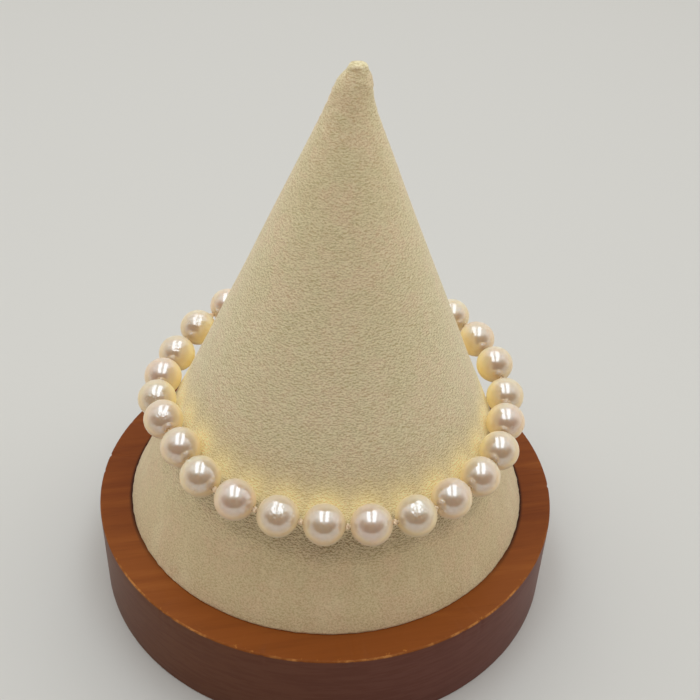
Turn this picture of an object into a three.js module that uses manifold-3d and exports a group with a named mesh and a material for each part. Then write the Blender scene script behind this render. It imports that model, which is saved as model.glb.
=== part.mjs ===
// A pearl bracelet lying round the suede-covered cone of its display stand.
// Millimetres, +Z up. The origin is the centre of the stand's underside.
import * as THREE from 'three';
import { mergeVertices } from 'three/addons/utils/BufferGeometryUtils.js';
import Module from 'manifold-3d';

const wasm = await Module();
wasm.setup();

// Bracelet: round pearls on a silk thread, with one knot between each two
const PEARL_COUNT = 25;
const PEARL_DIAMETER = 6.6;
const DRILL_DIAMETER = 1.1;
const KNOT_GAP = 0.7;
const KNOT_CLEARANCE = 0.15;
const KNOT_DIAMETER = 1.1;
const THREAD_DIAMETER = 0.5;

// Clasp: a plain barrel with a bore along it that takes both ends of the thread
const CLASP_LENGTH = 10;
const CLASP_DIAMETER = 4.2;
const CLASP_END_DIAMETER = 2.6;
const CLASP_BORE_DIAMETER = 1.1;
const THREAD_REACH_IN_CLASP = 2.5;

// Stand: a turned wooden board and the cone on it, which leans a little to one side and
// stands a little in front of the board's middle
const BOARD_DIAMETER = 84.2;
const BOARD_THICKNESS = 16.5;
const BOARD_EDGE_ROUND = 0.3;
const CONE_FOOT_DIAMETER = 72.6;
const CONE_FOOT_SHIFT = 0.1;
const CONE_FRONT_SHIFT = 0.6;
const CONE_FOOT_ROUND = 0.2;
const CONE_APEX_HEIGHT = 83.7;
const CONE_APEX_SHIFT = 2.1;
const CONE_SIDE_HOLLOW = 0.3;

// The suede is gathered over the cone's point into a small nub that leans further
const TIP_START_HEIGHT = 74;
const TIP_LENGTH = 7.8;
const NUB_SHIFT = 0.65;
// rise is a share of TIP_LENGTH, radius one of the cone's where the tip starts, and shift
// one of NUB_SHIFT
const TIP_SECTIONS = [
  { rise: 0.00, radius: 1.00, shift: 0.00 },
  { rise: 0.26, radius: 0.83, shift: 0.00 },
  { rise: 0.51, radius: 0.69, shift: 0.15 },
  { rise: 0.68, radius: 0.58, shift: 0.30 },
  { rise: 0.77, radius: 0.50, shift: 0.55 },
  { rise: 0.85, radius: 0.40, shift: 0.75 },
  { rise: 0.90, radius: 0.36, shift: 0.90 },
  { rise: 0.96, radius: 0.33, shift: 1.00 },
  { rise: 1.00, radius: 0.26, shift: 1.00 },
];

// The way the string of pearls takes round the cone, seen from above and counted from +X
// towards +Y: the angle in degrees, the height above the board, and how far a pearl there
// stands off the suede. It starts behind the cone, at the middle of the clasp.
const STRING_ROUTE = [
  { angle: 89.5, height: 26.7, clear: -0.4 },
  { angle: 109, height: 25.9, clear: 0.8 },
  { angle: 134, height: 25.1, clear: 0.4 },
  { angle: 147, height: 23.3, clear: 0.7 },
  { angle: 160, height: 21.6, clear: 0.2 },
  { angle: 174, height: 21.6, clear: 0.2 },
  { angle: 188, height: 22.2, clear: 0.6 },
  { angle: 202, height: 23.5, clear: 0.9 },
  { angle: 216, height: 23.1, clear: 0.5 },
  { angle: 230, height: 22.5, clear: 1.4 },
  { angle: 250, height: 21.4, clear: 1.2 },
  { angle: 272, height: 20.1, clear: 0.3 },
  { angle: 292, height: 20.6, clear: 1.4 },
  { angle: 312, height: 20.3, clear: 0.6 },
  { angle: 332, height: 20.5, clear: 0.6 },
  { angle: 348, height: 21.0, clear: 0.2 },
  { angle: 362, height: 20.9, clear: 0.2 },
  { angle: 376, height: 22.8, clear: 0.6 },
  { angle: 389, height: 23.5, clear: 0.8 },
  { angle: 403, height: 24.6, clear: 1.0 },
  { angle: 429, height: 25.9, clear: 0.8 },
];

// Fineness of the meshes
const PEARL_SIDES = 14;
const PEARL_BANDS = 7;
const KNOT_SIDES = 8;
const KNOT_BANDS = 4;
const THREAD_CURVE_SEGMENTS = 3;
const THREAD_STEPS_PER_PEARL = 4;
const CLASP_SIDES = 16;
const CLASP_BANDS = 6;
const CONE_SIDES = 64;
const CONE_SIDE_ROWS = 6;
const BOARD_SIDES = 72;
const EDGE_ARC_STEPS = 3;
const ROUTE_ARC_DIVISIONS = 1200;
const SLIDE_SEARCH_STEPS = 40;

// Colours and finishes
const pearlNacre = new THREE.MeshStandardMaterial({ color: 0xe9dccb, roughness: 0.18, metalness: 0 });
const silkThread = new THREE.MeshStandardMaterial({ color: 0xe6dcc8, roughness: 0.8, metalness: 0 });
const claspMetal = new THREE.MeshStandardMaterial({ color: 0xd9d4c8, roughness: 0.25, metalness: 1 });
const beigeSuede = new THREE.MeshStandardMaterial({ color: 0xc0ae90, roughness: 0.95, metalness: 0 });
const stainedWood = new THREE.MeshStandardMaterial({ color: 0x6a3c22, roughness: 0.4, metalness: 0 });

const UP = new THREE.Vector3(0, 1, 0);
const pearlRadius = PEARL_DIAMETER / 2;
const drillRadius = DRILL_DIAMETER / 2;
const coneSlope = CONE_FOOT_DIAMETER / 2 / CONE_APEX_HEIGHT;
const coneCosine = 1 / Math.hypot(1, coneSlope);

// Half the cone's width at a height above the board, where its side is a little hollow
// between the foot and the tip
function coneRadius(height) {
  const share = height / TIP_START_HEIGHT;
  const hollow = CONE_SIDE_HOLLOW * 4 * share * (1 - share);
  return (CONE_APEX_HEIGHT - height) * coneSlope - hollow;
}

// How far to the side of the board's middle the cone's axis lies at a height
function coneAxisX(height) {
  return THREE.MathUtils.lerp(CONE_FOOT_SHIFT, CONE_APEX_SHIFT, height / CONE_APEX_HEIGHT);
}

const part = new THREE.Group();

function addPiece(name, geometry, material) {
  const mesh = new THREE.Mesh(geometry, material);
  mesh.name = name;
  part.add(mesh);
}

// A profile of [radius, height] pairs turned round the Z axis
function turned(profile, sides) {
  const points = profile.map(([radius, height]) => new THREE.Vector2(radius, height));
  return new THREE.LatheGeometry(points, sides).rotateX(Math.PI / 2);
}

// A quarter round between two faces, as profile points
function quarterRound(centreRadius, centreHeight, round, startAngle) {
  return Array.from({ length: EDGE_ARC_STEPS + 1 }, (_, i) => {
    const angle = startAngle + (i / EDGE_ARC_STEPS) * (Math.PI / 2);
    return [centreRadius + round * Math.cos(angle), centreHeight + round * Math.sin(angle)];
  });
}

// The board is a turned disc with both rims eased
function boardGeometry() {
  const inner = BOARD_DIAMETER / 2 - BOARD_EDGE_ROUND;
  return turned([
    [0, 0],
    ...quarterRound(inner, BOARD_EDGE_ROUND, BOARD_EDGE_ROUND, -Math.PI / 2),
    ...quarterRound(inner, BOARD_THICKNESS - BOARD_EDGE_ROUND, BOARD_EDGE_ROUND, 0),
    [0, BOARD_THICKNESS],
  ], BOARD_SIDES);
}

// The cone stands on the board. Its cover turns under at the foot and is gathered at the tip.
// Each row of its profile is a ring round the leaning axis.
function coneGeometry() {
  const tipRadius = coneRadius(TIP_START_HEIGHT);
  const sideHeights = Array.from({ length: CONE_SIDE_ROWS }, (_, i) => (
    THREE.MathUtils.lerp(CONE_FOOT_ROUND, TIP_START_HEIGHT, i / CONE_SIDE_ROWS)
  ));
  const rows = [
    { radius: 0, height: 0, shift: 0 },
    { radius: coneRadius(0) - CONE_FOOT_ROUND, height: 0, shift: 0 },
    ...sideHeights.map((height) => ({ radius: coneRadius(height), height, shift: 0 })),
    ...TIP_SECTIONS.map(({ rise, radius, shift }) => ({
      radius: radius * tipRadius,
      height: TIP_START_HEIGHT + rise * TIP_LENGTH,
      shift: shift * NUB_SHIFT,
    })),
    { radius: 0, height: TIP_START_HEIGHT + TIP_LENGTH, shift: NUB_SHIFT },
  ];
  const geometry = turned(rows.map(({ radius, height }) => [radius, height]), CONE_SIDES);
  const position = geometry.attributes.position;
  for (let i = 0; i < position.count; i += 1) {
    const row = rows[i % rows.length];
    position.setX(i, position.getX(i) + coneAxisX(row.height) + row.shift);
  }
  return geometry.translate(0, -CONE_FRONT_SHIFT, BOARD_THICKNESS);
}

// The string's closed line, with the whole route moved up or down the cone by slide
function stringLine(slide) {
  const points = STRING_ROUTE.map(({ angle, height, clear }) => {
    const rise = height + slide;
    const reach = coneRadius(rise) + (pearlRadius + clear) / coneCosine;
    const turn = THREE.MathUtils.degToRad(angle);
    const x = coneAxisX(rise) + reach * Math.cos(turn);
    const y = reach * Math.sin(turn) - CONE_FRONT_SHIFT;
    return new THREE.Vector3(x, y, BOARD_THICKNESS + rise);
  });
  const line = new THREE.CatmullRomCurve3(points, true);
  line.arcLengthDivisions = ROUTE_ARC_DIVISIONS;
  return line;
}

const pearlPitch = PEARL_DIAMETER + KNOT_GAP;
const claspSpan = CLASP_LENGTH + 2 * KNOT_GAP + PEARL_DIAMETER;
const loopLength = claspSpan + (PEARL_COUNT - 1) * pearlPitch;

// A loop lies where the cone is just as thick as it is long, so its height follows its length
function settledLine() {
  let low = -CONE_APEX_HEIGHT;
  let high = CONE_APEX_HEIGHT;
  for (let i = 0; i < SLIDE_SEARCH_STEPS; i += 1) {
    const middle = (low + high) / 2;
    if (stringLine(middle).getLength() > loopLength) low = middle;
    else high = middle;
  }
  return stringLine((low + high) / 2);
}

// Where each pearl sits on the line, and the way its drilled hole runs
function pearlPlaces(line) {
  return Array.from({ length: PEARL_COUNT }, (_, i) => {
    const share = (claspSpan / 2 + i * pearlPitch) / loopLength;
    return { centre: line.getPointAt(share), axis: line.getTangentAt(share) };
  });
}

// A pearl is a ball with a hole through it, here standing along the Y axis
function pearlGeometry() {
  const mouth = Math.asin(drillRadius / pearlRadius);
  const outside = Array.from({ length: PEARL_BANDS + 1 }, (_, i) => {
    const angle = THREE.MathUtils.lerp(Math.PI - mouth, mouth, i / PEARL_BANDS);
    return new THREE.Vector2(pearlRadius * Math.sin(angle), pearlRadius * Math.cos(angle));
  });
  return new THREE.LatheGeometry([...outside, outside[0].clone()], PEARL_SIDES);
}

// The clasp is a barrel that swells from its ends to its middle, bored from end to end
function claspGeometry() {
  const endRadius = CLASP_END_DIAMETER / 2;
  const swell = CLASP_DIAMETER / 2 - endRadius;
  const outside = Array.from({ length: CLASP_BANDS + 1 }, (_, i) => {
    const along = THREE.MathUtils.lerp(-1, 1, i / CLASP_BANDS);
    const radius = endRadius + swell * Math.sqrt(1 - along * along);
    return new THREE.Vector2(radius, (along * CLASP_LENGTH) / 2);
  });
  const boreRadius = CLASP_BORE_DIAMETER / 2;
  const start = new THREE.Vector2(boreRadius, -CLASP_LENGTH / 2);
  const end = new THREE.Vector2(boreRadius, CLASP_LENGTH / 2);
  return new THREE.LatheGeometry([start, ...outside, end, start.clone()], CLASP_SIDES);
}

// Turn and carry a geometry that stands along the Y axis to its place on the string
function laid(geometry, centre, axis) {
  const turn = new THREE.Quaternion().setFromUnitVectors(UP, axis);
  return geometry.applyQuaternion(turn).translate(centre.x, centre.y, centre.z);
}

// The clasp lies along the chord between the two ends of the string
function claspPlace(pearls) {
  const first = pearls[0];
  const last = pearls[PEARL_COUNT - 1];
  const reach = pearlRadius + KNOT_GAP;
  const from = last.centre.clone().addScaledVector(last.axis, reach);
  const to = first.centre.clone().addScaledVector(first.axis, -reach);
  return { centre: from.clone().lerp(to, 0.5), axis: to.clone().sub(from).normalize() };
}

// The thread runs straight through each pearl and bends at the knots. Both its ends stop
// inside the clasp.
function threadPoints(pearls, clasp) {
  const claspEnd = CLASP_LENGTH / 2;
  const deep = claspEnd - THREAD_REACH_IN_CLASP;
  const along = (place, distance) => place.centre.clone().addScaledVector(place.axis, distance);
  return [
    along(clasp, deep),
    along(clasp, claspEnd),
    ...pearls.flatMap((pearl) => [along(pearl, -pearlRadius), along(pearl, pearlRadius)]),
    along(clasp, -claspEnd),
    along(clasp, -deep),
  ];
}

// A closed mesh as a solid that can be joined to another
function asSolid(geometry) {
  const bare = geometry.clone();
  bare.deleteAttribute('normal');
  bare.deleteAttribute('uv');
  const merged = mergeVertices(bare);
  return new wasm.Manifold(new wasm.Mesh({
    numProp: 3,
    vertProperties: new Float32Array(merged.attributes.position.array),
    triVerts: new Uint32Array(merged.index.array),
  }));
}

function asGeometry(solid) {
  const mesh = solid.getMesh();
  const geometry = new THREE.BufferGeometry();
  geometry.setAttribute('position', new THREE.BufferAttribute(new Float32Array(mesh.vertProperties), 3));
  geometry.setIndex(new THREE.BufferAttribute(new Uint32Array(mesh.triVerts), 1));
  geometry.computeVertexNormals();
  return geometry;
}

// A knot is a small flattened ball tied in the thread halfway between two neighbours
function knotGeometry(from, to) {
  const halfLength = KNOT_GAP / 2 - KNOT_CLEARANCE;
  const ball = new THREE.SphereGeometry(KNOT_DIAMETER / 2, KNOT_SIDES, KNOT_BANDS);
  ball.scale(1, halfLength / (KNOT_DIAMETER / 2), 1);
  return laid(ball, from.clone().lerp(to, 0.5), to.clone().sub(from).normalize());
}

function threadGeometry(pearls, clasp) {
  const points = threadPoints(pearls, clasp);
  const section = new THREE.Shape().absarc(0, 0, THREAD_DIAMETER / 2, 0, 2 * Math.PI);
  const tube = new THREE.ExtrudeGeometry(section, {
    steps: (PEARL_COUNT + 1) * THREAD_STEPS_PER_PEARL,
    curveSegments: THREAD_CURVE_SEGMENTS,
    extrudePath: new THREE.CatmullRomCurve3(points),
  });
  let thread = asSolid(tube);
  for (let i = 1; i < points.length - 1; i += 2) {
    thread = thread.add(asSolid(knotGeometry(points[i], points[i + 1])));
  }
  return asGeometry(thread);
}

const pearls = pearlPlaces(settledLine());
const clasp = claspPlace(pearls);

addPiece('stand_base', boardGeometry(), stainedWood);
addPiece('stand_cone', coneGeometry(), beigeSuede);
pearls.forEach(({ centre, axis }, i) => {
  const name = `pearl_${String(i + 1).padStart(2, '0')}`;
  addPiece(name, laid(pearlGeometry(), centre, axis), pearlNacre);
});
addPiece('clasp', laid(claspGeometry(), clasp.centre, clasp.axis), claspMetal);
addPiece('thread', threadGeometry(pearls, clasp), silkThread);

export default part;
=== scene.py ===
import math

import bpy
import numpy as np
from mathutils import Matrix, Vector, noise


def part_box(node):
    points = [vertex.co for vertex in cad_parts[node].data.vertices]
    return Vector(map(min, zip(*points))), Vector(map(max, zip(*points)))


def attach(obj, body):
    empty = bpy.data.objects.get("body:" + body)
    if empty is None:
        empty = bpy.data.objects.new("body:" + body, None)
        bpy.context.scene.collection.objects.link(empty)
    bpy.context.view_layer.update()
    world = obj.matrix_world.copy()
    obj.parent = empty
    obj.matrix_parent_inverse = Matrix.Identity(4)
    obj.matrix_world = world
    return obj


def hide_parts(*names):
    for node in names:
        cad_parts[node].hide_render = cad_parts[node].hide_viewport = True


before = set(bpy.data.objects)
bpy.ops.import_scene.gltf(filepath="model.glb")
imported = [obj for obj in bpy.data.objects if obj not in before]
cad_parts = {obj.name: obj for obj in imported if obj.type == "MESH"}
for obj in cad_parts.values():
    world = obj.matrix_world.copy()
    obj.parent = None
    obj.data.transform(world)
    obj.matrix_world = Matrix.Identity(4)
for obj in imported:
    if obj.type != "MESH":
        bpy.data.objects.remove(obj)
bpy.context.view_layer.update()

MM = 0.001

# Camera
# It looks down at the front of the stand from where the photograph was taken. Its place is
# counted from the middle of the cone's foot.
board_low, board_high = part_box("stand_base")
cone_low, cone_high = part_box("stand_cone")
foot_middle = Vector((0, (cone_low.y + cone_high.y) / 2, board_high.z))

view_rise = math.radians(36.35)
view_roll = math.radians(2.51)
view_distance = 199.5 * MM
view_side_shift = 3.34 * MM
view_up_shift = 24.77 * MM
film_width = 36
focal_length = 54.17

camera = bpy.data.objects.new("camera", bpy.data.cameras.new("camera"))
bpy.context.scene.collection.objects.link(camera)
bpy.context.scene.camera = camera
camera.data.sensor_width = film_width
camera.data.lens = focal_length

towards_camera = Vector((0, -math.cos(view_rise), math.sin(view_rise)))
level_right = Vector((1, 0, 0))
level_up = towards_camera.cross(level_right)
camera_right = math.cos(view_roll) * level_right + math.sin(view_roll) * level_up
camera_up = math.cos(view_roll) * level_up - math.sin(view_roll) * level_right
eye = foot_middle + view_distance * towards_camera
eye += view_side_shift * level_right + view_up_shift * level_up
facing = Matrix((camera_right, camera_up, towards_camera)).transposed()
camera.matrix_world = Matrix.Translation(eye) @ facing.to_4x4()
bpy.context.scene.view_settings.view_transform = "Standard"


# Wooden board
# The stand's foot is a disc turned from a reddish brown hardwood, stained and varnished, and
# darker round its side, where the stain is mixed with a painted reflection of the grey room.
# The front of its top carries a painted light. Handling has chipped the upper rim and rubbed it
# bare at the front, and a painted shade darkens the corner round the cone's foot.
board_radius = (board_high.x - board_low.x) / 2
board_thickness = board_high.z - board_low.z
board_sides = 720
rim_round = 0.3 * MM
rim_steps = 6
side_rows = 6
face_rows = 8
chip_depth = 0.55 * MM
chip_size = 1.1 * MM
chip_group_size = 9 * chip_size
chip_grouping = 0.3
chip_rarity = 0.42
wear_gain = 0.12
chipped_band = 1.2 * MM
worn_from = math.radians(205)
worn_to = math.radians(320)
worn_fade = 0.3


def ramp_up(value, low, high):
    """0 below low, 1 above high and a smooth rise between them."""
    share = min(max((value - low) / (high - low), 0.0), 1.0)
    return share * share * (3 - 2 * share)


def smooth_piece(name, points, faces):
    """A smooth-shaded mesh object on the origin."""
    mesh = bpy.data.meshes.new(name)
    mesh.from_pydata(points, [], faces)
    mesh.polygons.foreach_set("use_smooth", [True] * len(mesh.polygons))
    piece = bpy.data.objects.new(name, mesh)
    bpy.context.scene.collection.objects.link(piece)
    return piece


def ring_skin(name, rows, sides, place):
    """A closed skin of rings. The first and last rows are points on the axis, and
    place(row, turn) says where each point lies."""
    count = len(rows) - 2
    turns = [2 * math.pi * i / sides for i in range(sides)]
    points = [place(row, turn) for row in rows[1:-1] for turn in turns]
    points += [place(rows[0], 0.0), place(rows[-1], 0.0)]
    first_pole = count * sides
    faces = []
    for i in range(sides):
        j = (i + 1) % sides
        faces.append((first_pole, j, i))
        for k in range(count - 1):
            faces.append((k * sides + i, k * sides + j, (k + 1) * sides + j, (k + 1) * sides + i))
        faces.append((first_pole + 1, (count - 1) * sides + i, (count - 1) * sides + j))
    return smooth_piece(name, points, faces)


def quarter_round(centre_radius, centre_height, start):
    """A quarter round of the rim, as (radius, height) rows."""
    angles = [start + math.pi / 2 * i / rim_steps for i in range(rim_steps + 1)]
    return [
        (centre_radius + rim_round * math.cos(a), centre_height + rim_round * math.sin(a))
        for a in angles
    ]


def board_point(row, turn):
    """The upper rim has small chips in groups, and more of them where it is worn."""
    radius, height = row
    near_rim = ramp_up(radius, board_radius - chipped_band, board_radius - rim_round)
    near_rim *= ramp_up(height, board_thickness - chipped_band, board_thickness - rim_round)
    worn = ramp_up(turn, worn_from, worn_from + worn_fade)
    worn *= 1 - ramp_up(turn, worn_to - worn_fade, worn_to)
    spot = Vector((radius * math.cos(turn), radius * math.sin(turn), height))
    groups = noise.noise(spot / chip_group_size) * chip_grouping
    chip = max(noise.noise(spot / chip_size) + groups - chip_rarity + wear_gain * worn, 0)
    outwards = Vector((math.cos(turn), math.sin(turn), 1)).normalized()
    return spot - outwards * chip * chip_depth * near_rim + Vector((0, 0, board_low.z))


inner = board_radius - rim_round
lower_rim = quarter_round(inner, rim_round, -math.pi / 2)
upper_rim = quarter_round(inner, board_thickness - rim_round, 0)
face = [inner * i / face_rows for i in range(1, face_rows)]
side = [rim_round + (board_thickness - 2 * rim_round) * i / side_rows for i in range(1, side_rows)]
board_rows = [(0, 0)] + [(r, 0) for r in face] + lower_rim + [(board_radius, h) for h in side]
board_rows += upper_rim + [(r, board_thickness) for r in reversed(face)] + [(0, board_thickness)]
board = ring_skin("wooden_board", board_rows, board_sides, board_point)


def colour(red, green, blue):
    """A colour as seen on a screen, 0 to 255, as the linear values that a shader takes."""
    shares = [c / 255 for c in (red, green, blue)]
    return (*[s / 12.92 if s < 0.04045 else ((s + 0.055) / 1.055) ** 2.4 for s in shares], 1.0)


class Wire:
    """One socket of a node tree, so that sums and products of wires read as plain arithmetic."""

    def __init__(self, net, socket):
        self.net = net
        self.socket = socket

    def maths(self, operation, *values):
        return self.net.node("ShaderNodeMath", {"operation": operation}, dict(enumerate(values)))

    def __add__(self, other):
        return self.maths("ADD", self, other)

    __radd__ = __add__

    def __sub__(self, other):
        return self.maths("SUBTRACT", self, other)

    def __rsub__(self, other):
        return self.maths("SUBTRACT", other, self)

    def __mul__(self, other):
        return self.maths("MULTIPLY", self, other)

    __rmul__ = __mul__

    def __truediv__(self, other):
        return self.maths("DIVIDE", self, other)

    def __pow__(self, other):
        return self.maths("POWER", self, other)


class Net:
    """A node tree whose nodes are made one at a time."""

    def __init__(self, tree):
        self.tree = tree

    def feed(self, socket, value):
        if isinstance(value, Wire):
            self.tree.links.new(value.socket, socket)
        else:
            socket.default_value = value

    def node(self, kind, settings=None, sockets=None, output=0):
        """The settings go in first, a ramp's stops among them, then values or wires."""
        made = self.tree.nodes.new(kind)
        for name, value in (settings or {}).items():
            if name == "stops":
                while len(made.color_ramp.elements) < len(value):
                    made.color_ramp.elements.new(0.5)
                for stop, (position, shade) in zip(made.color_ramp.elements, value):
                    stop.position, stop.color = position, shade
            else:
                setattr(made, name, value)
        for key, value in (sockets or {}).items():
            self.feed(made.inputs[key], value)
        return Wire(self, made.outputs[output])

    def split(self, vector):
        made = self.tree.nodes.new("ShaderNodeSeparateXYZ")
        self.feed(made.inputs[0], vector)
        return [Wire(self, socket) for socket in made.outputs]

    def noise(self, spot, scale, detail=2.0, rough=0.5, warp=0.0):
        return self.node("ShaderNodeTexNoise", sockets={
            "Vector": spot,
            "Scale": scale,
            "Detail": detail,
            "Roughness": rough,
            "Distortion": warp,
        })

    def between(self, value, low, high):
        """0 where value is at low, 1 at high, with a smooth rise."""
        sockets = {"Value": value, "From Min": low, "From Max": high}
        return self.node("ShaderNodeMapRange", {"interpolation_type": "SMOOTHSTEP"}, sockets)

    def blend(self, share, first, second):
        """The first colour where share is 0 and the second where it is 1."""
        return self.node("ShaderNodeMix", {"data_type": "RGBA"}, {0: share, 6: first, 7: second}, 2)


class Finish(Net):
    """A material on one Principled shader."""

    def __init__(self, name):
        self.material = bpy.data.materials.new(name)
        self.material.use_nodes = True
        super().__init__(self.material.node_tree)
        self.shader = self.tree.nodes["Principled BSDF"]

    def set(self, sockets):
        for name, value in sockets.items():
            self.feed(self.shader.inputs[name], value)

    def spot(self, scale=(1, 1, 1), turn=0.0, shift=(0, 0, 0)):
        """The point on the piece in millimetres, turned about Z, then scaled and shifted."""
        place = self.node("ShaderNodeTexCoord", output="Object")
        turned = self.node("ShaderNodeMapping", sockets={"Vector": place, "Rotation": (0, 0, turn)})
        size = tuple(s / MM for s in scale)
        return self.node("ShaderNodeMapping", sockets={"Vector": turned, "Scale": size, "Location": shift})

    def attribute(self, name):
        """A number that is stored on the mesh."""
        return self.node("ShaderNodeAttribute", {"attribute_name": name}, output="Fac")

    def relief(self, height, depth, strength=1.0):
        """A surface whose height, from 0 to 1, stands depth metres proud."""
        sockets = {"Height": height, "Distance": depth, "Strength": strength}
        self.set({"Normal": self.node("ShaderNodeBump", sockets=sockets)})


# The heights and distances in a material are in millimetres
grain_turn = math.radians(-12)
grain_stretch = 13
wood_tones = [
    (0.30, colour(107, 51, 22)),
    (0.44, colour(121, 61, 25)),
    (0.56, colour(128, 66, 27)),
    (0.70, colour(144, 80, 34)),
]
pore_brown = colour(84, 36, 15)
corner_painted_shade = colour(34, 16, 10)
side_stain_and_reflection_left = colour(113, 75, 55)
side_stain_and_reflection_right = colour(114, 73, 64)
side_line_brown = colour(88, 48, 38)
bare_wood = colour(208, 142, 78)
nicked_wood = colour(196, 130, 60)
painted_front_light = colour(196, 116, 50)
rim_in_mm = board_radius / MM
top_in_mm = board_thickness / MM
foot_x_in_mm = (cone_low.x + cone_high.x) / 2 / MM
foot_y_in_mm = foot_middle.y / MM
foot_radius_in_mm = (cone_high.x - cone_low.x) / 2 / MM

wood = Finish("varnished_wood")
along_grain = wood.spot((1 / grain_stretch, 1, 1), grain_turn)
streaks = wood.noise(along_grain, 0.36, 4.0, 0.62, 0.6)
fibres = wood.noise(along_grain, 1.9, 2.0, 0.6)
on_board = wood.spot()
clouds = wood.noise(on_board, 0.05, 2.0)
scuffs = wood.noise(on_board, 0.16, 3.0, 0.6)
nicks = wood.noise(on_board, 1.3, 2.0, 0.6)
side_lines = wood.noise(wood.spot((0.12, 0.12, 1)), 1.5, 3.0, 0.65)

board_x, board_y, board_z = wood.split(on_board)
from_axis = (board_x * board_x + board_y * board_y) ** 0.5
foot_x, foot_y = board_x - foot_x_in_mm, board_y - foot_y_in_mm
from_foot = (foot_x * foot_x + foot_y * foot_y) ** 0.5 - foot_radius_in_mm
on_face = wood.between(board_z, top_in_mm - 0.4, top_in_mm - 0.15)
on_edge = wood.between(from_axis, rim_in_mm - 0.32, rim_in_mm - 0.16)
on_edge = on_edge * wood.between(board_z, top_in_mm - 0.4, top_in_mm - 0.2)
beside_edge = wood.between(from_axis, rim_in_mm - 0.9, rim_in_mm - 0.4) * on_face
in_front = wood.between(board_y, -6.0, -24.0)
# Painted shade: a dark ring on the wood close round the cone's foot, left out at its front
in_shaded_corner = wood.between(from_foot, 0.75, 0.15) * (1 - wood.between(board_y, -14.0, -30.0))

grain = wood.node("ShaderNodeValToRGB", {"stops": wood_tones}, {"Fac": streaks * 0.75 + clouds * 0.25})
grain = wood.blend(wood.between(fibres, 0.56, 0.74) * 0.22, grain, pore_brown)
grain = wood.blend(in_shaded_corner * 0.85, grain, corner_painted_shade)
# The side's colour is its stain with a painted reflection of the grey room, bluer on the right; the dark
# lines along it are the stain's own
side_stain_and_reflection = wood.blend(wood.between(board_x, -30.0, 30.0), side_stain_and_reflection_left, side_stain_and_reflection_right)
side_stain_and_reflection = wood.blend(wood.between(side_lines, 0.4, 0.62) * 0.3, side_stain_and_reflection, side_line_brown)
# worn gathers the wood's grain and wear together with the painted side reflection, painted corner shade
# and painted front light
worn = wood.blend((1 - on_face) * 0.92, grain, side_stain_and_reflection)
rubbed_through = wood.between(scuffs, 0.46, 0.6) * 0.7 + 0.08
rubbed_through = rubbed_through * (0.4 + wood.between(nicks, 0.42, 0.55) * 0.6) * in_front
worn = wood.blend(on_edge * rubbed_through, worn, bare_wood)
worn = wood.blend(beside_edge * wood.between(nicks, 0.64, 0.72) * in_front * 0.6, worn, nicked_wood)
# Painted light: the front of the top is painted lighter and more amber
worn = wood.blend(in_front * on_face * 0.2, worn, painted_front_light)
wood.set({"Base Color": worn, "Roughness": 0.38, "Specular IOR Level": 0.06})
wood.relief(streaks * 0.6 + fibres * 0.4, 0.03 * MM, 0.5)
board.data.materials.append(wood.material)
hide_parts("stand_base")
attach(board, "root")


# Suede-covered cone
# A turned core with beige suede glued round it. The suede is turned under at the foot and
# gathered over the point into a small nub, where it creases. It carries painted light and
# shade: a shadow just below the string and over the lower cone, a warm glow just above the
# string where the pearls pass light on to it, lit and shaded sides on its crinkles, and faint
# light streaks below the string.
cone_sides = 400
cone_row_height = 0.45 * MM
cap_rows = 4
swell_depth = 0.12 * MM
swell_size = 14 * MM
swell_from_foot = 6 * MM
full_radius = 6 * MM
crease_depth = 0.16 * MM
crease_size = 1.2 * MM
crease_flatness = 2.4
crease_from = 58 * MM
pleats = 7
pleat_depth = 0.10 * MM
pleat_twist = 1 / (0.2 * MM)
nub_height = 3.5 * MM
pleats_full_below_top = 1 * MM
bulge_depth = 0.33 * MM
bulge_below_top = 2.2 * MM
bulge_height = 1.8 * MM
fray_depth = 0.09 * MM
fray_size = 0.9 * MM
fray_full_height = 0.4 * MM
fray_height = 2.4 * MM
band_core = 4.5 * MM
band_reach = 9.5 * MM
dark_under_string = 4 * MM
light_under_string = 2 * MM


def cad_rings(node):
    """The rings of a turned CAD solid: a row of height, middle and radius for each."""
    found = {}
    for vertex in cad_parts[node].data.vertices:
        found.setdefault(round(vertex.co.z, 5), []).append(vertex.co.x)
    rows = [(z, (min(x) + max(x)) / 2, (max(x) - min(x)) / 2) for z, x in sorted(found.items())]
    return np.array(rows)


def cap(ring, shares):
    """The rows of a flat face inside a ring."""
    height, middle, radius = ring
    return [(height, middle, radius * i / cap_rows) for i in shares]


def cone_point(row, turn):
    """The cloth lies in shallow swells, crinkles near the point, pleats and bulges on one side
    at the nub, and is a little rough along the foot."""
    z, middle, radius = row
    outwards = Vector((math.cos(turn), math.sin(turn), 0))
    spot = Vector((middle, foot_middle.y, z)) + outwards * radius
    rise = z - cone_foot
    fall = cone_top - z
    full = min(radius / full_radius, 1.0)
    lift = noise.noise(spot / swell_size) * swell_depth * full * ramp_up(rise, 0, swell_from_foot)
    flat = Vector((spot.x, spot.y, spot.z * crease_flatness))
    near_tip = ramp_up(rise, crease_from, cone_top - cone_foot)
    lift += noise.noise(flat / crease_size) * crease_depth * near_tip
    on_nub = 1 - ramp_up(fall, pleats_full_below_top, nub_height)
    lift += math.sin(pleats * turn + rise * pleat_twist) * pleat_depth * on_nub * full
    bulge = math.exp(-(((fall - bulge_below_top) / bulge_height) ** 2))
    lift += bulge_depth * bulge * max(math.cos(turn), 0)
    at_foot = 1 - ramp_up(rise, fray_full_height, fray_height)
    lift += noise.noise(spot / fray_size) * fray_depth * at_foot * full
    return spot + outwards * lift


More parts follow.
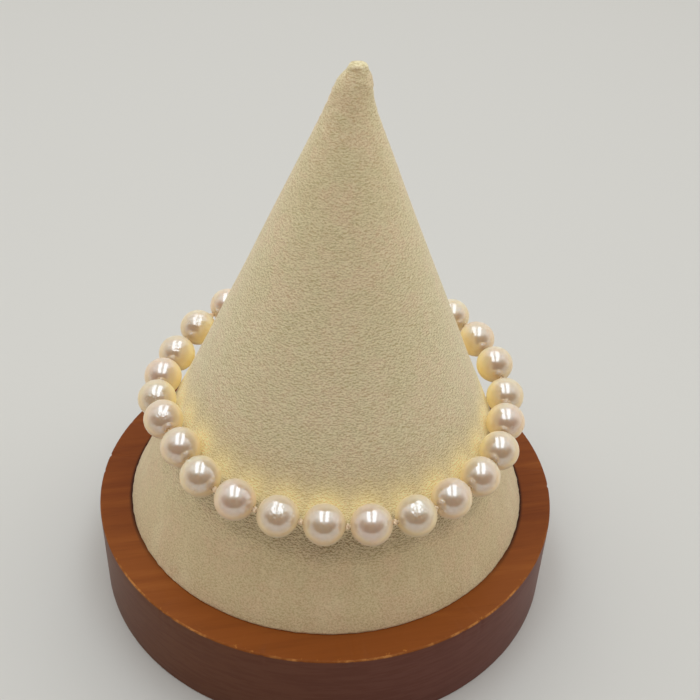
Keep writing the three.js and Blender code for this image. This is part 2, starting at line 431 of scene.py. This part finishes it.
rings = cad_rings("stand_cone")
cone_foot, cone_top = rings[0, 0], rings[-1, 0]
row_count = round((cone_top - cone_foot) / cone_row_height)
cone_heights = np.unique(np.concatenate([np.linspace(cone_foot, cone_top, row_count), rings[:, 0]]))
cone_middles = np.interp(cone_heights, rings[:, 0], rings[:, 1])
cone_radii = np.interp(cone_heights, rings[:, 0], rings[:, 2])
cone_rows = cap(rings[0], range(cap_rows))
cone_rows += list(zip(cone_heights, cone_middles, cone_radii))
cone_rows += cap(rings[-1], reversed(range(cap_rows)))
cone = ring_skin("suede_cone", cone_rows, cone_sides, cone_point)

# Two bands along the string are stored on the mesh: a painted glow above it, which starts
# where the pearls touch the suede, and a painted shadow below
pearl_nodes = sorted(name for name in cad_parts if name.startswith("pearl_"))
pearl_centres = [sum(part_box(name), Vector()) / 2 for name in pearl_nodes]
centres = np.array(pearl_centres)
skin = np.array([v.co for v in cone.data.vertices])
apart = np.linalg.norm(skin[:, None] - centres[None], axis=2)
over_nearest = skin[:, 2] - centres[np.argmin(apart, axis=1), 2]
above = np.clip((over_nearest + dark_under_string) / (dark_under_string - light_under_string), 0, 1)
closeness = np.clip((band_reach - np.min(apart, axis=1)) / (band_reach - band_core), 0, 1) ** 1.5
for label, share in (("above_string", above), ("below_string", 1 - above)):
    cone.data.attributes.new(label, "FLOAT", "POINT").data.foreach_set("value", closeness * share)

suede_cream = colour(240, 213, 156)
suede_rose = colour(250, 212, 163)
suede_olive = colour(232, 217, 156)
suede_low_painted_shade = colour(208, 181, 138)
painted_string_shadow = colour(122, 95, 54)
painted_string_glow = colour(246, 223, 156)
painted_streak_light = colour(255, 242, 200)
suede_shadow = colour(148, 128, 84)
suede_light = colour(255, 243, 206)
black = (0, 0, 0, 1)
painted_pearl_glow = (0.178, 0.148, 0.058, 1)
slope_reach = 0.27
slope_gain = 1.7

suede = Finish("beige_suede")
on_suede = suede.spot()


def crinkles_at(rise):
    """The crinkles, which lie flat round the cone, as they are a little above each point."""
    return suede.noise(suede.spot((1, 1, 1.8), shift=(0, 0, rise)), 2.2, 1.5, 0.6, 0.6)


nap = suede.noise(on_suede, 3.2, 2.0, 0.6)
crinkles = crinkles_at(0)
# Painted shade: slopes paints each crinkle lighter on its upper side and darker below, as light from above
# would
slopes = (crinkles_at(slope_reach) - crinkles) * slope_gain + 0.5
vertical_streaks = suede.noise(suede.spot((1, 1, 0.12)), 0.3, 2.0, 0.5)
brushed = suede.noise(on_suede, 0.16, 2.0, 0.5)
blotches = suede.noise(on_suede, 0.55, 3.0, 0.6)
height = suede.split(on_suede)[2]
upper = suede.between(height, 24.0, 34.0)
ruffled = upper * (1 - suede.between(height, 45.0, 98.0) * 0.4)
texture = nap * (0.8 - ruffled * 0.45) + slopes * (0.2 + ruffled * 0.45)
above_string = suede.attribute("above_string")
below_string = suede.attribute("below_string")

tinted = suede.blend(suede.between(brushed, 0.38, 0.62), suede_cream, suede_rose)
tinted = suede.blend(suede.between(blotches, 0.42, 0.6) * 0.4, tinted, suede_olive)
# Painted shade: the lower cone, under the string, is painted darker
tinted = suede.blend((1 - upper) * 0.6, tinted, suede_low_painted_shade)
# Painted shadow: the suede is painted dark just below the string, where the pearls shade it
tinted = suede.blend(below_string ** 0.6 * 0.95, tinted, painted_string_shadow)
# Painted light: a warm glow on the suede just above the string, for light that the pearls pass on
tinted = suede.blend(above_string, tinted, painted_string_glow)
# Painted light: faint lighter vertical streaks on the lower cone, for light falling between the pearls
tinted = suede.blend(suede.between(vertical_streaks, 0.48, 0.72) * (1 - upper) * 0.2, tinted, painted_streak_light)
# The crinkles' painted light and shade mix here with the nap's own random tone
painted_shade_tone = suede.blend(0.2 + ruffled * 0.26, tinted, suede_shadow)
painted_light_tone = suede.blend(0.3 + ruffled * 0.5, tinted, suede_light)
suede.set({
    "Base Color": suede.blend(suede.between(texture, 0.31, 0.63), painted_shade_tone, painted_light_tone),
    "Roughness": 0.92,
    "Sheen Weight": 0.2,
    "Sheen Roughness": 0.5,
    # The emission is a painted glow from the pearls, which are no lamps
    "Emission Color": suede.blend(above_string ** 2.0, black, painted_pearl_glow),
    "Emission Strength": 1.0,
})
suede.relief(nap * 0.4 + crinkles * ruffled * 0.6, 0.34 * MM)
cone.data.materials.append(suede.material)
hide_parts("stand_cone")
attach(cone, "root")


# Pearls
# Round cultured pearls of 6.6 mm, drilled through and strung with their holes in line. The
# nacre is cream with a rose tone and a strong lustre. Where it faces the suede it is painted
# golden and given a painted glow, for the light that the suede throws back, and its side rims
# carry a painted glow, as if light passed through. Some pearls carry growth marks: rings,
# ripples and small pits.
clasp_centre = sum(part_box("clasp"), Vector()) / 2
pearl_radius = 3.3 * MM
pearl_hole_radius = 0.5 * MM
pearl_bore_radius = 0.43 * MM
pearl_mouth_depth = 0.12 * MM
pearl_sides, pearl_bands = 96, 64
marked_sides, marked_bands = 168, 112
unevenness = 0.035 * MM
ripple_depth = 0.03 * MM
pit_depth = 0.13 * MM
mark_depth = 0.02 * MM
seed_per_pearl = 3.7
tone_turn_per_pearl = 2.4


def string_axes():
    """The way that the string runs at each pearl, from its neighbours on both sides."""
    along = [clasp_centre, *pearl_centres, clasp_centre]
    return [(after - before).normalized() for before, after in zip(along, along[2:])]


def turned_points(profile, sides):
    """A closed profile of (radius, height) turned about Z into a bored solid."""
    turns = [2 * math.pi * i / sides for i in range(sides)]
    points = [(r * math.cos(t), r * math.sin(t), h) for r, h in profile for t in turns]
    faces = []
    for k in range(len(profile)):
        after = (k + 1) % len(profile)
        for i in range(sides):
            j = (i + 1) % sides
            faces.append((k * sides + i, k * sides + j, after * sides + j, after * sides + i))
    return points, faces


def laid_along(centre, axis):
    """The matrix that stands a turned solid on centre with its bore along axis."""
    return Matrix.Translation(centre) @ Vector((0, 0, 1)).rotation_difference(axis).to_matrix().to_4x4()


def drilled_ball(sides, bands):
    """The points and faces of a ball with a hole through it along Z."""
    mouth = math.asin(pearl_hole_radius / pearl_radius)
    arc = [mouth + (math.pi - 2 * mouth) * i / bands for i in range(bands + 1)]
    ball = [(pearl_radius * math.sin(a), -pearl_radius * math.cos(a)) for a in arc]
    bore_end = pearl_radius * math.cos(mouth) - pearl_mouth_depth
    bore = [(pearl_bore_radius, bore_end), (pearl_bore_radius, -bore_end)]
    return turned_points(ball + bore, sides)


class Shape(Net):
    """A Geometry Nodes tree with named sizes, which is baked into plain meshes."""

    def __init__(self, name, sizes):
        super().__init__(bpy.data.node_groups.new(name, "GeometryNodeTree"))
        door = self.tree.interface
        door.new_socket("Geometry", in_out="INPUT", socket_type="NodeSocketGeometry")
        door.new_socket("Geometry", in_out="OUTPUT", socket_type="NodeSocketGeometry")
        for label, value in sizes.items():
            kind = "NodeSocketFloat" if isinstance(value, float) else "NodeSocketVector"
            door.new_socket(label, in_out="INPUT", socket_type=kind).default_value = value
        self.entry = self.tree.nodes.new("NodeGroupInput")

    def given(self, label):
        return Wire(self, self.entry.outputs[label])

    def vector(self, operation, *values, output=0):
        return self.node("ShaderNodeVectorMath", {"operation": operation}, dict(enumerate(values)), output)

    def scaled(self, vector, factor):
        sockets = {"Vector": vector, "Scale": factor}
        return self.node("ShaderNodeVectorMath", {"operation": "SCALE"}, sockets)

    def close(self, geometry, material):
        solid = self.node("GeometryNodeRealizeInstances", sockets={"Geometry": geometry})
        dressed = self.node("GeometryNodeSetMaterial", sockets={"Geometry": solid, "Material": material})
        self.tree.links.new(dressed.socket, self.tree.nodes.new("NodeGroupOutput").inputs[0])

    def bake(self, name, mesh, sizes):
        """The tree's result on a mesh, as a plain mesh object."""
        piece = bpy.data.objects.new(name, mesh)
        bpy.context.scene.collection.objects.link(piece)
        modifier = piece.modifiers.new("shape", "NODES")
        modifier.node_group = self.tree
        for item in self.tree.interface.items_tree:
            if item.in_out == "INPUT" and item.name in sizes:
                modifier[item.identifier] = sizes[item.name]
        ready = piece.evaluated_get(bpy.context.evaluated_depsgraph_get())
        baked = bpy.data.meshes.new_from_object(ready)
        piece.modifiers.clear()
        piece.data = baked
        return piece


nacre_cool = colour(220, 200, 171)
nacre_rose = colour(223, 196, 175)
nacre_bloom = colour(218, 206, 172)
nacre_painted_suede_reflection = colour(232, 203, 140)
painted_rim_glow = (0.125, 0.088, 0.02, 1)
painted_suede_side_glow = (0.10, 0.083, 0.034, 1)

nacre = Finish("pearl_nacre")
on_pearl = nacre.spot()
bloom = nacre.noise(on_pearl, 0.35, 2.0)
layers = nacre.noise(on_pearl, 1.1, 2.0, 0.5, 0.5)
golden = nacre.between(nacre.attribute("inward"), 0.25, 0.95)
tilt = nacre.attribute("tilt")
sidelong = nacre.between(tilt, -0.5, 0.05) * nacre.between(tilt, 0.95, 0.4)
turned_away = nacre.node("ShaderNodeLayerWeight", {}, {"Blend": 0.5}, 1)
on_rim = nacre.between(turned_away, 0.1, 0.55) * sidelong
on_suede_side = golden * nacre.between(turned_away, 0.05, 0.4)

body = nacre.blend(nacre.attribute("tone"), nacre_cool, nacre_rose)
body = nacre.blend(nacre.between(bloom, 0.4, 0.7) * 0.5, body, nacre_bloom)
# Painted reflection: the side facing the suede is painted golden, for the light that the suede throws back
body = nacre.blend(golden * 0.55, body, nacre_painted_suede_reflection)
# Painted light: the pearls' side rims glow, as if light passed through them; the emission stands in for it
painted_glow = nacre.blend(on_rim, black, painted_rim_glow)
# Painted light: a glow on the side facing the suede
painted_glow = nacre.blend(on_suede_side, painted_glow, painted_suede_side_glow)
nacre.set({
    "Base Color": body,
    "Roughness": 0.35,
    "Specular IOR Level": 0.2,
    "Coat Weight": (1 - nacre.between(turned_away, 0.14, 0.5) * 0.8) * (1 - golden * 0.6),
    "Coat IOR": 4.0,
    "Coat Roughness": 0.08,
    "Coat Tint": (0.85, 0.75, 0.7, 1.0),
    "Subsurface Weight": 1.0,
    "Subsurface Radius": (1.0, 0.85, 0.7),
    "Subsurface Scale": 8.0 * MM,
    "Emission Color": painted_glow,
    "Emission Strength": 1.0,
})
nacre.relief(layers, 0.017 * MM)

pearl_shape = Shape("pearl_shape", {
    "Seed": 0.0,
    "Unevenness": unevenness,
    "Ripple Depth": ripple_depth,
    "Pit Depth": pit_depth,
    "Mark Depth": mark_depth,
    "Flaw Place": (0, 0, 0),
    "Flaw Reach": 0.35,
    "Tone": 0.5,
})
pearl_input = pearl_shape.given
position = pearl_shape.node("GeometryNodeInputPosition")
radial = pearl_shape.vector("NORMALIZE", position)
position_in_mm = pearl_shape.scaled(position, 1 / MM)


def seeded_noise(seed_step, scale, detail):
    """A noise over the pearl that is another one for each seed."""
    return pearl_shape.node("ShaderNodeTexNoise", {"noise_dimensions": "4D"}, {
        "Vector": position_in_mm,
        "W": pearl_input("Seed") + seed_step,
        "Scale": scale,
        "Detail": detail,
    })


wobble = seeded_noise(0.0, 0.22, 1.0)
marks = seeded_noise(9.0, 0.8, 2.0)
ripples = seeded_noise(5.0, 1.2, 1.0)
pits = seeded_noise(2.0, 2.9, 1.0)
from_flaw = pearl_shape.vector("DISTANCE", radial, pearl_input("Flaw Place"), output="Value")
flawed = 1 - pearl_shape.between(from_flaw, pearl_input("Flaw Reach") * 0.4, pearl_input("Flaw Reach"))
lift = (wobble - 0.5) * 2 * pearl_input("Unevenness")
lift = lift + (ripples - 0.5) * pearl_input("Ripple Depth")
lift = lift + (pits - 0.5) * flawed * pearl_input("Pit Depth")
lift = lift - pearl_shape.between(marks, 0.56, 0.72) * pearl_input("Mark Depth") * (0.4 + flawed * 2)
moved = pearl_shape.node("GeometryNodeSetPosition", sockets={
    "Geometry": pearl_input("Geometry"), "Offset": pearl_shape.scaled(radial, lift)})
toned = pearl_shape.node("GeometryNodeStoreNamedAttribute", {"data_type": "FLOAT", "domain": "POINT"}, {
    "Geometry": moved, "Name": "tone", "Value": pearl_input("Tone")})
pearl_shape.close(toned, nacre.material)

# Marks that show in the photograph: the pearl's number, the way the mark faces, its reach.
# The other pearls have a small one underneath.
seen_marks = {
    4: ((0.0, -0.55, 0.84), 0.75),
    5: ((0.1, -0.6, 0.8), 0.5),
    7: ((-0.1, -0.75, 0.65), 0.5),
    8: ((0.1, -0.62, 0.8), 0.4),
    10: ((-0.2, -0.98, 0.1), 0.3),
    12: ((0.0, -0.6, 0.8), 0.65),
    15: ((0.05, -0.5, 0.85), 0.55),
    16: ((-0.6, -0.75, -0.1), 0.35),
    19: ((0.2, -0.9, 0.4), 0.3),
}
small_mark_below = ((0, 0, -1), 0.3)

plain_ball = drilled_ball(pearl_sides, pearl_bands)
marked_ball = drilled_ball(marked_sides, marked_bands)
for number, (node, centre, axis) in enumerate(zip(pearl_nodes, pearl_centres, string_axes()), 1):
    points, faces = marked_ball if number in seen_marks else plain_ball
    raw = bpy.data.meshes.new(node)
    raw.from_pydata(points, [], faces)
    raw.polygons.foreach_set("use_smooth", [True] * len(raw.polygons))
    laid = laid_along(centre, axis)
    facing_mark, reach = seen_marks.get(number, small_mark_below)
    pearl = pearl_shape.bake(node + "_nacre", raw, {
        "Seed": seed_per_pearl * number,
        "Flaw Place": laid.to_3x3().transposed() @ Vector(facing_mark).normalized(),
        "Flaw Reach": reach,
        "Tone": 0.5 + 0.5 * math.sin(tone_turn_per_pearl * number),
    })
    pearl.data.transform(laid)
    to_cone = Vector((-centre.x, foot_middle.y - centre.y, 0)).normalized()
    for label, way in (("tilt", Vector((0, 0, 1))), ("inward", to_cone)):
        shares = [(v.co - centre).dot(way) / pearl_radius for v in pearl.data.vertices]
        pearl.data.attributes.new(label, "FLOAT", "POINT").data.foreach_set("value", shares)
    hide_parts(node)
    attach(pearl, "root")


# Thread
# One cream silk thread of three twisted plies runs through all pearls, with an overhand knot
# pulled tight between each two and on both sides of the clasp, and ends inside the clasp.
thread_radius = 0.25 * MM
ply_radius = 0.13 * MM
ply_twist = 1 / (1.1 * MM)
ply_count = 3
thread_step = 0.16 * MM
knot_gap = 0.7 * MM
knot_radius = 0.55 * MM
knot_cord_radius = 0.19 * MM
knot_points_round = 60
clasp_half_length = 5 * MM
thread_end_in_clasp = 2.5 * MM

strung_pearls = list(zip(pearl_centres, string_axes()))
first_centre, first_axis = strung_pearls[0]
last_centre, last_axis = strung_pearls[-1]
clasp_from = last_centre + last_axis * (pearl_radius + knot_gap)
clasp_to = first_centre - first_axis * (pearl_radius + knot_gap)
clasp_axis = (clasp_to - clasp_from).normalized()
clasp_middle = (clasp_from + clasp_to) / 2
route = [clasp_middle + clasp_axis * d for d in (thread_end_in_clasp, clasp_half_length)]
for centre, axis in strung_pearls:
    route += [centre - axis * pearl_radius, centre + axis * pearl_radius]
route += [clasp_middle - clasp_axis * d for d in (clasp_half_length, thread_end_in_clasp)]
gaps = list(zip(route[1::2], route[2::2]))
knot_places = [(a + b) / 2 for a, b in gaps]
knot_axes = [(b - a).normalized() for a, b in gaps]

silk = Finish("silk_thread")
spun = silk.noise(silk.spot(), 6.0, 2.0, 0.5)
silk.set({
    "Base Color": silk.blend(spun, colour(246, 216, 174), colour(255, 234, 204)),
    "Roughness": 0.6,
    "Sheen Weight": 0.3,
})


def sine(angle):
    return angle.maths("SINE", angle)


def cosine(angle):
    return angle.maths("COSINE", angle)


# The guide is a line with a lone point for each knot, which carries the knot's axis
thread_shape = Shape("thread_shape", {
    "Thread Radius": thread_radius,
    "Ply Radius": ply_radius,
    "Twist": ply_twist,
    "Knot Radius": knot_radius,
    "Knot Cord Radius": knot_cord_radius,
})
thread_input = thread_shape.given
line = thread_shape.node("GeometryNodeMeshToCurve", sockets={"Mesh": thread_input("Geometry")})
line = thread_shape.node("GeometryNodeResampleCurve", {"mode": "LENGTH"}, {
    "Curve": line, "Length": thread_step})
length = thread_shape.node("GeometryNodeSplineParameter", output="Length")
sideways = thread_shape.node("GeometryNodeInputNormal")
tangent = thread_shape.node("GeometryNodeInputTangent")
upwards = thread_shape.vector("CROSS_PRODUCT", tangent, sideways)
joined = thread_shape.tree.nodes.new("GeometryNodeJoinGeometry")
for ply in range(ply_count):
    angle = length * thread_input("Twist") * (2 * math.pi) + 2 * math.pi * ply / ply_count
    reach = thread_input("Thread Radius") - thread_input("Ply Radius")
    offset = thread_shape.vector(
        "ADD",
        thread_shape.scaled(sideways, cosine(angle) * reach),
        thread_shape.scaled(upwards, sine(angle) * reach),
    )
    strand = thread_shape.node("GeometryNodeSetPosition", sockets={"Geometry": line, "Offset": offset})
    ring = thread_shape.node("GeometryNodeCurvePrimitiveCircle", sockets={
        "Resolution": 6, "Radius": thread_input("Ply Radius")})
    tube = thread_shape.node("GeometryNodeCurveToMesh", sockets={
        "Curve": strand, "Profile Curve": ring, "Fill Caps": True})
    thread_shape.feed(joined.inputs[0], tube)

# An overhand knot pulled tight is a trefoil
turn = thread_shape.node("GeometryNodeInputIndex") * (2 * math.pi / knot_points_round)
trefoil_point = thread_shape.node("ShaderNodeCombineXYZ", sockets={
    "X": sine(turn) + sine(turn * 2) * 2,
    "Y": cosine(turn) - cosine(turn * 2) * 2,
    "Z": sine(turn * 3) * -1.15,
})
trefoil_scale = (thread_input("Knot Radius") - thread_input("Knot Cord Radius")) / 3
loop = thread_shape.node("GeometryNodeCurvePrimitiveCircle", sockets={"Resolution": knot_points_round})
trefoil = thread_shape.node("GeometryNodeSetPosition", sockets={
    "Geometry": loop, "Position": thread_shape.scaled(trefoil_point, trefoil_scale)})
cord_ring = thread_shape.node("GeometryNodeCurvePrimitiveCircle", sockets={
    "Resolution": 6, "Radius": thread_input("Knot Cord Radius")})
knot = thread_shape.node("GeometryNodeCurveToMesh", sockets={"Curve": trefoil, "Profile Curve": cord_ring})
neighbours = thread_shape.node("GeometryNodeInputMeshVertexNeighbors")
lone = thread_shape.node("FunctionNodeCompare", {"data_type": "INT", "operation": "EQUAL"}, {
    2: neighbours, 3: 0})
knot_points = thread_shape.node("GeometryNodeMeshToPoints", sockets={
    "Mesh": thread_input("Geometry"), "Selection": lone})
knot_axis = thread_shape.node("GeometryNodeInputNamedAttribute", {"data_type": "FLOAT_VECTOR"}, {
    "Name": "axis"})
along_axis = thread_shape.node("FunctionNodeAlignRotationToVector", {"axis": "Z"}, {"Vector": knot_axis})
knots = thread_shape.node("GeometryNodeInstanceOnPoints", sockets={
    "Points": knot_points, "Instance": knot, "Rotation": along_axis})
thread_shape.feed(joined.inputs[0], knots)
whole = thread_shape.node("GeometryNodeRealizeInstances", sockets={
    "Geometry": Wire(thread_shape, joined.outputs[0])})
smoothed = thread_shape.node("GeometryNodeSetShadeSmooth", sockets={"Geometry": whole})
thread_shape.close(smoothed, silk.material)

guide = bpy.data.meshes.new("thread_guide")
guide.from_pydata(route + knot_places, [(i, i + 1) for i in range(len(route) - 1)], [])
axes = guide.attributes.new("axis", "FLOAT_VECTOR", "POINT")
axes.data.foreach_set("vector", [c for a in [Vector()] * len(route) + knot_axes for c in a])
thread = thread_shape.bake("silk_thread", guide, {})
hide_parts("thread")
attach(thread, "root")


# Clasp
# A barrel of brushed silver closes the string behind the cone, where the photograph doesn't
# show it. The fine groove round its middle is the joint of its two halves.
clasp_end_radius = 1.3 * MM
clasp_radius = 2.1 * MM
clasp_bore_radius = 0.55 * MM
groove_depth = 0.10 * MM
groove_half_width = 0.12 * MM
bead_height = 0.10 * MM
bead_share = 0.93
bead_half_width_share = 0.03
clasp_rows = 48
groove_rows = 17
clasp_sides = 64


def barrel_radius(share):
    """The barrel swells to its middle, where its halves meet in a fine groove, and has a bead
    near each end."""
    swell = (clasp_radius - clasp_end_radius) * math.sqrt(1 - share * share)
    groove = groove_depth * math.exp(-((share * clasp_half_length / groove_half_width) ** 2))
    bead = bead_height * math.exp(-(((abs(share) - bead_share) / bead_half_width_share) ** 2))
    return clasp_end_radius + swell - groove + bead


shares = np.concatenate([
    np.linspace(-1, -0.1, clasp_rows // 2),
    np.linspace(-0.08, 0.08, groove_rows),
    np.linspace(0.1, 1, clasp_rows // 2),
])
barrel = [(barrel_radius(s), s * clasp_half_length) for s in shares]
barrel += [(clasp_bore_radius, clasp_half_length), (clasp_bore_radius, -clasp_half_length)]
clasp = smooth_piece("barrel_clasp", *turned_points(barrel, clasp_sides))
clasp.data.transform(laid_along(clasp_middle, clasp_axis))
silver = Finish("brushed_silver")
brushing = silver.noise(silver.spot((0.08, 1, 1)), 5.0, 2.0)
silver.set({
    "Base Color": silver.blend(brushing, colour(196, 192, 184), colour(222, 219, 212)),
    "Metallic": 1.0,
    "Roughness": 0.22 + brushing * 0.16,
})
silver.relief(brushing, 0.01 * MM)
clasp.data.materials.append(silver.material)
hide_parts("clasp")
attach(clasp, "root")


# Studio
# A pale table under two long soft lamps overhead, in a pale room that is brighter on the right
# and dark behind the camera.
table_size = 3.0
lamp_places = [(-0.17, 0.05), (0.136, 0.05)]
lamp_height = 0.6
lamp_width = 0.2
lamp_length = 0.85
lamp_watts = 0.66
lamp_colour = (0.87, 0.98, 1.08)
wall_left = (0.80, 0.78, 0.74, 1)
wall_right = (0.94, 0.93, 0.89, 1)
ceiling_white = (0.93, 0.99, 1.0, 1)
dark_opening = (0.17, 0.115, 0.095, 1)
backdrop_grey = (0.6, 0.6, 0.6, 1)

half = table_size / 2
corners = [(x, y, board_low.z) for x, y in ((-half, -half), (half, -half), (half, half), (-half, half))]
table = smooth_piece("table", corners, [(0, 1, 2, 3)])
table_top = Finish("pale_table")
table_top.set({"Base Color": colour(214, 209, 202), "Roughness": 0.8})
table.data.materials.append(table_top.material)

for lamp_place in lamp_places:
    lamp = bpy.data.lights.new("lamp", "AREA")
    lamp.shape = "RECTANGLE"
    lamp.size, lamp.size_y = lamp_width, lamp_length
    lamp.energy = lamp_watts
    lamp.color = lamp_colour
    holder = bpy.data.objects.new("lamp", lamp)
    holder.location = (*lamp_place, lamp_height)
    bpy.context.scene.collection.objects.link(holder)

room = bpy.data.worlds.new("room")
bpy.context.scene.world = room
room.use_nodes = True
air = Net(room.node_tree)
east, north, up = air.split(air.node("ShaderNodeTexCoord", output="Generated"))
from_opening = (east / 1.4) ** 2 + ((up - 0.33) / 0.62) ** 2
in_opening = air.between(from_opening, 1.0, 0.18) * air.between(north, 0.1, -0.35)
walls = air.blend(air.between(east, -0.3, 0.8), wall_left, wall_right)
walls = air.blend(air.between(up, 0.5, 0.85), walls, ceiling_white)
walls = air.blend(in_opening, walls, dark_opening)
seen = air.node("ShaderNodeLightPath", output="Is Camera Ray")
air.feed(room.node_tree.nodes["Background"].inputs["Color"], air.blend(seen, walls, backdrop_grey))
